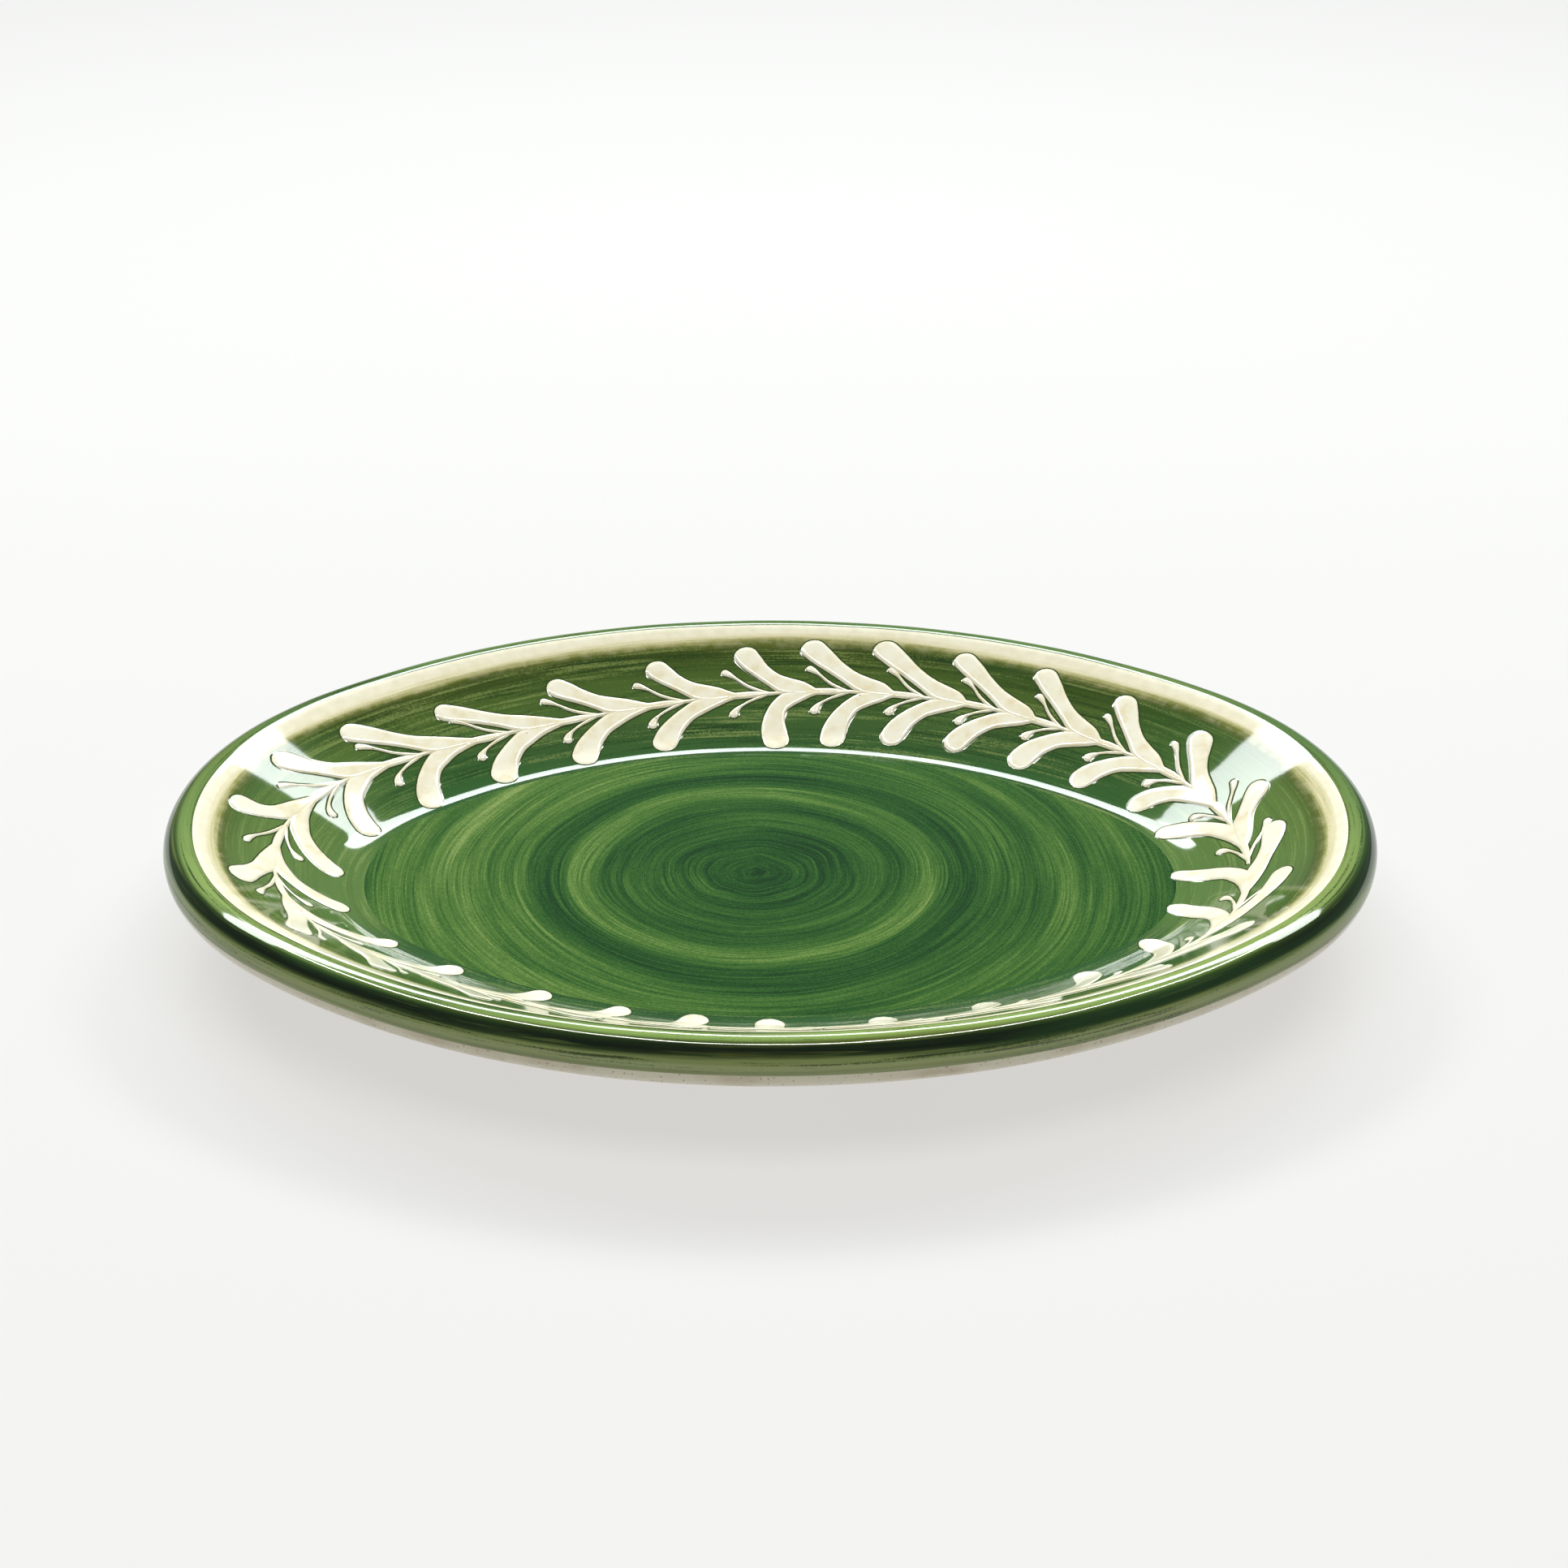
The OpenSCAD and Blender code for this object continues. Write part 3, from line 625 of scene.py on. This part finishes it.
def layStroke(bm, unit, points, steps, capSteps, lift):
    edgeLayer, reachLayer = bm.verts.layers.float["edge"], bm.verts.layers.float["reach"]
    line = smoothLine(points, steps)
    pool = wreath["pool"]
    steadies = [0, 0.2, 0.42, 0.62, 0.86, 1.15, 1.9]
    rows = []
    for i, p in enumerate(line):
        ahead = (line[min(i + 1, len(line) - 1)] - line[max(i - 1, 0)]).to_2d().normalized()
        rows.append((p.to_2d(), ahead, p.z + pool, 0.0))
    middle, ahead, half, _ = rows[0]
    rows.insert(0, (middle - pool * ahead, ahead, half, None))
    for k in range(1, capSteps + 1):
        rows.append((line[-1].to_2d(), rows[-1][1], line[-1].z + pool, math.radians(90 * k / capSteps)))
    columns = 2 * len(steadies) + 1
    grid = bmesh.ops.create_grid(bm, x_segments=columns - 1, y_segments=len(rows) - 1, size=1)["verts"]
    for v in grid:
        j, k = round((v.co.x + 1) / 2 * (columns - 1)), round((v.co.y + 1) / 2 * (len(rows) - 1))
        middle, ahead, half, turn = rows[k]
        side = Vector((-ahead.y, ahead.x))
        step = min(j, columns - 1 - j)
        depth = half if step == len(steadies) else min(steadies[step], half * step / len(steadies))
        off = (half - depth) * (1 if j > columns // 2 else -1)
        if turn is None:
            place, depth = middle + off * side, 0.0
        else:
            place = middle + half * math.sin(turn) * ahead + off * math.cos(turn) * side
            depth = depth if turn == 0 else max(0.0, half - (place - middle).length)
        low, rise = wreath["poolHeight"], min(1.0, max(0.0, (depth - pool) / wreath["shoulder"]))
        height = wreath["foot"] + (low - wreath["foot"]) * min(1, depth / pool)
        height += (lift - low) * rise * rise * (3 - 2 * rise)
        run = forkAt(unit) + place.x
        inset = wreath["inset"] + wreath["stray"] * strayAt(run) - place.y * math.cos(slope)
        v.co = onWall(run, inset, height)
        v[edgeLayer], v[reachLayer] = depth, max(0.0, k / len(rows))
    bmesh.ops.remove_doubles(bm, verts=grid, dist=0.002)


def leafPoints(unit, kind):
    outer = kind == "outerLeaf"
    side = 1 if outer else -1
    endAlong, endOut = strokes["ends"][unit][:2] if outer else strokes["ends"][unit][2:]
    tipAlong, tipOut = strokes[kind][-1][:2]
    lean, grow = endAlong - tipAlong, endOut / abs(tipOut)
    base = -pitchAt(unit) / 2
    points = [(base - 1.2, 0, wreath["stem"]), (base + 0.6, 0.1 * side, wreath["stem"] + 0.05)]
    for along, out, half in strokes[kind]:
        share = out / tipOut
        points.append((along + lean * max(0, share) ** 1.3, out * (1 + (grow - 1) * max(0, share) ** 0.7),
                       half * (1 + 0.08 * share * chance(unit, 1 if outer else 5))))
    return points


def stemPoints(unit):
    pitch = pitchAt(unit)
    stretch, stop = pitch / meanPitch, pitch / 2
    start = wreath["seamGap"] if unit == 0 else -2.0
    points = [(start, wreath["neck"])] + [(max(start, 0) + a * stretch, half) for a, half in
                                           ((2, 0.6), (4, 0.75), (8, wreath["stem"]))]
    points += [(stop + 0.6, wreath["stem"]), (stop + 2.2, wreath["stem"] + 0.1)]
    return [(a - pitch, 0.12 * chance(unit, a), half) for a, half in points]


def stamenPoints(unit, kind):
    pitch = pitchAt(unit)
    stretch = pitch / meanPitch
    start = wreath["seamGap"] if unit == 0 else 0
    salt = 9 if kind == "outerStamen" else 13
    points = []
    for i, (along, out, half) in enumerate(strokes[kind]):
        drift = 0.5 * (i / 5) ** 2
        points.append((start + along * stretch - pitch + drift * chance(unit, salt),
                       out + drift * chance(unit, salt + 1), half))
    return points


def paintStrokes(name, pointsOf, steps, capSteps, lift, node, material):
    bm = bmesh.new()
    bm.verts.layers.float.new("edge")
    bm.verts.layers.float.new("reach")
    for unit in range(wreath["pairs"]):
        layStroke(bm, unit, pointsOf(unit), steps, capSteps, lift)
    bmesh.ops.recalc_face_normals(bm, faces=bm.faces)
    if sum(f.normal.z * f.calc_area() for f in bm.faces) < 0:
        bmesh.ops.reverse_faces(bm, faces=bm.faces)
    bmesh.ops.solidify(bm, geom=bm.faces[:] + bm.edges[:] + bm.verts[:], thickness=0.2)
    return finishPiece(name, bm, node, material, sharp=70)


slip = mixPaintedSlip()
paint = coats["paint"]
paintStrokes("stemStrokes", stemPoints, 3, 5, paint - 0.01, "stem", slip)
for kind, node, lift in (("outerLeaf", "outer_leaves", 0.01), ("innerLeaf", "inner_leaves", 0)):
    paintStrokes(kind + "Strokes", lambda unit: leafPoints(unit, kind), 4, 7, paint + lift, node, slip)
for kind, node, drop in (("outerStamen", "outer_stamens", 0.02), ("innerStamen", "inner_stamens", 0.03)):
    paintStrokes(kind + "Strokes", lambda unit: stamenPoints(unit, kind), 3, 5, paint - drop, node, slip)
print("wreath painted")

# Studio: a pale table, three windows behind, strips overhead that only the gloss shows, and a matt fill
studio = {"tableSize": 9.0, "near": (142, 142, 141), "far": (58, 58, 57), "nearTo": 400, "farFrom": 1500,
          "glow": 0.86, "nearGlow": (212, 211, 210), "farGlow": (238, 238, 237)}


def makeTable():
    bm = bmesh.new()
    bmesh.ops.create_grid(bm, x_segments=1, y_segments=1, size=studio["tableSize"])
    mesh = bpy.data.meshes.new("paleTable")
    bm.to_mesh(mesh)
    bm.free()
    bench = Bench("paleTable")
    away = bench.level(bench.vector("LENGTH", bench.objectPlace(), out=1), studio["nearTo"], studio["farFrom"])
    colour = bench.mix(pigment(*studio["near"]), pigment(*studio["far"]), away)
    glow = bench.mix(pigment(*studio["nearGlow"]), pigment(*studio["farGlow"]), away)
    bench.feed(bench.surface.inputs["Emission Color"], glow)
    mesh.materials.append(bench.finish(colour, 0.9, Specular_IOR_Level=0.1, Emission_Strength=studio["glow"]))
    table = bpy.data.objects.new("paleTable", mesh)
    bpy.context.scene.collection.objects.link(table)


def hangLight(name, place, width, height, radiance, colour, along=None, seenBy="all"):
    data = bpy.data.lights.new(name, "AREA")
    data.shape, data.size, data.size_y = "RECTANGLE", width, height
    data.energy = radiance * math.pi * width * height
    data.color = colour
    light = bpy.data.objects.new(name, data)
    facing = place.normalized()
    side = (along or Vector((facing.y, -facing.x, 0))).normalized()
    side = (side - side.dot(facing) * facing).normalized()
    up = facing.cross(side)
    light.matrix_world = Matrix((side, up, facing)).transposed().to_4x4()
    light.location = place
    light.visible_camera = False
    light.visible_diffuse, light.visible_glossy = seenBy != "gloss", seenBy != "matt"
    bpy.context.scene.collection.objects.link(light)


def fromPlate(azimuth, elevation, distance):
    way, up = math.radians(azimuth), math.radians(elevation)
    return Vector((math.sin(way) * math.cos(up), math.cos(way) * math.cos(up), math.sin(up))) * distance


makeTable()
windows = {"colour": (0.94, 0.99, 1.0), "distance": 2.6, "elevation": 41, "height": 0.46, "radiance": 13.0,
           # azimuth, width and how much higher it hangs
           "panes": {"windowLeft": (-36, 1.36, 1.5), "windowMiddle": (0, 1.72, 0),
                     "windowRight": (36, 1.36, 1.0)}}
strips = {"colour": (1.0, 0.98, 0.94), "distance": 1.8, "width": 0.07, "radiance": 48.0,
          "bends": [(-0.5, 0.5, 0.71), (-0.33, 0.16, 0.925), (-0.12, -0.01, 0.99), (0.12, -0.01, 0.99),
                    (0.33, 0.16, 0.925), (0.5, 0.5, 0.71)]}
fill = {"colour": (1.0, 0.97, 0.92), "elevation": 72, "width": 3.0, "height": 1.4, "radiance": 2.6}
for name, (azimuth, width, lean) in windows["panes"].items():
    place = fromPlate(azimuth, windows["elevation"] + lean, windows["distance"])
    hangLight(name, place, width, windows["height"], windows["radiance"], windows["colour"])
bends = [Vector(p).normalized() for p in strips["bends"]]
for i, (start, stop) in enumerate(zip(bends, bends[1:])):
    hangLight(f"strip{i}", (start + stop).normalized() * strips["distance"],
              (stop - start).length * strips["distance"], strips["width"], strips["radiance"], strips["colour"],
              stop - start, "gloss")
hangLight("fill", fromPlate(180, fill["elevation"], windows["distance"]), fill["width"], fill["height"],
          fill["radiance"], fill["colour"], seenBy="matt")

world = bpy.data.worlds.new("studio")
bpy.context.scene.world = world
world.use_nodes = True
tree = world.node_tree
background = tree.nodes["Background"]
path = tree.nodes.new("ShaderNodeLightPath")
mixer = tree.nodes.new("ShaderNodeMix")
mixer.data_type = "RGBA"
surroundings = {"lights": (0.17, 0.19, 0.19, 1), "camera": pigment(245, 244, 242)}
mixer.inputs[6].default_value = surroundings["lights"]
mixer.inputs[7].default_value = surroundings["camera"]
tree.links.new(path.outputs["Is Camera Ray"], mixer.inputs[0])
tree.links.new(mixer.outputs[2], background.inputs["Color"])

eye = {"elevation": 28.5, "distance": 0.771, "lens": 70.3, "shiftX": 0.0088, "shiftY": 0.058}
camera = bpy.data.objects.new("camera", bpy.data.cameras.new("camera"))
camera.data.lens, camera.data.sensor_width = eye["lens"], 36
camera.data.shift_x, camera.data.shift_y = eye["shiftX"], eye["shiftY"]
rise = math.radians(eye["elevation"])
aim = Vector((0, 0, floorTop * milli))
camera.location = Vector((0, -math.cos(rise), math.sin(rise))) * eye["distance"] + aim
camera.rotation_euler = (math.pi / 2 - rise, 0, 0)
bpy.context.scene.collection.objects.link(camera)
bpy.context.scene.camera = camera
bpy.context.scene.view_settings.view_transform = "Standard"
print("studio set")
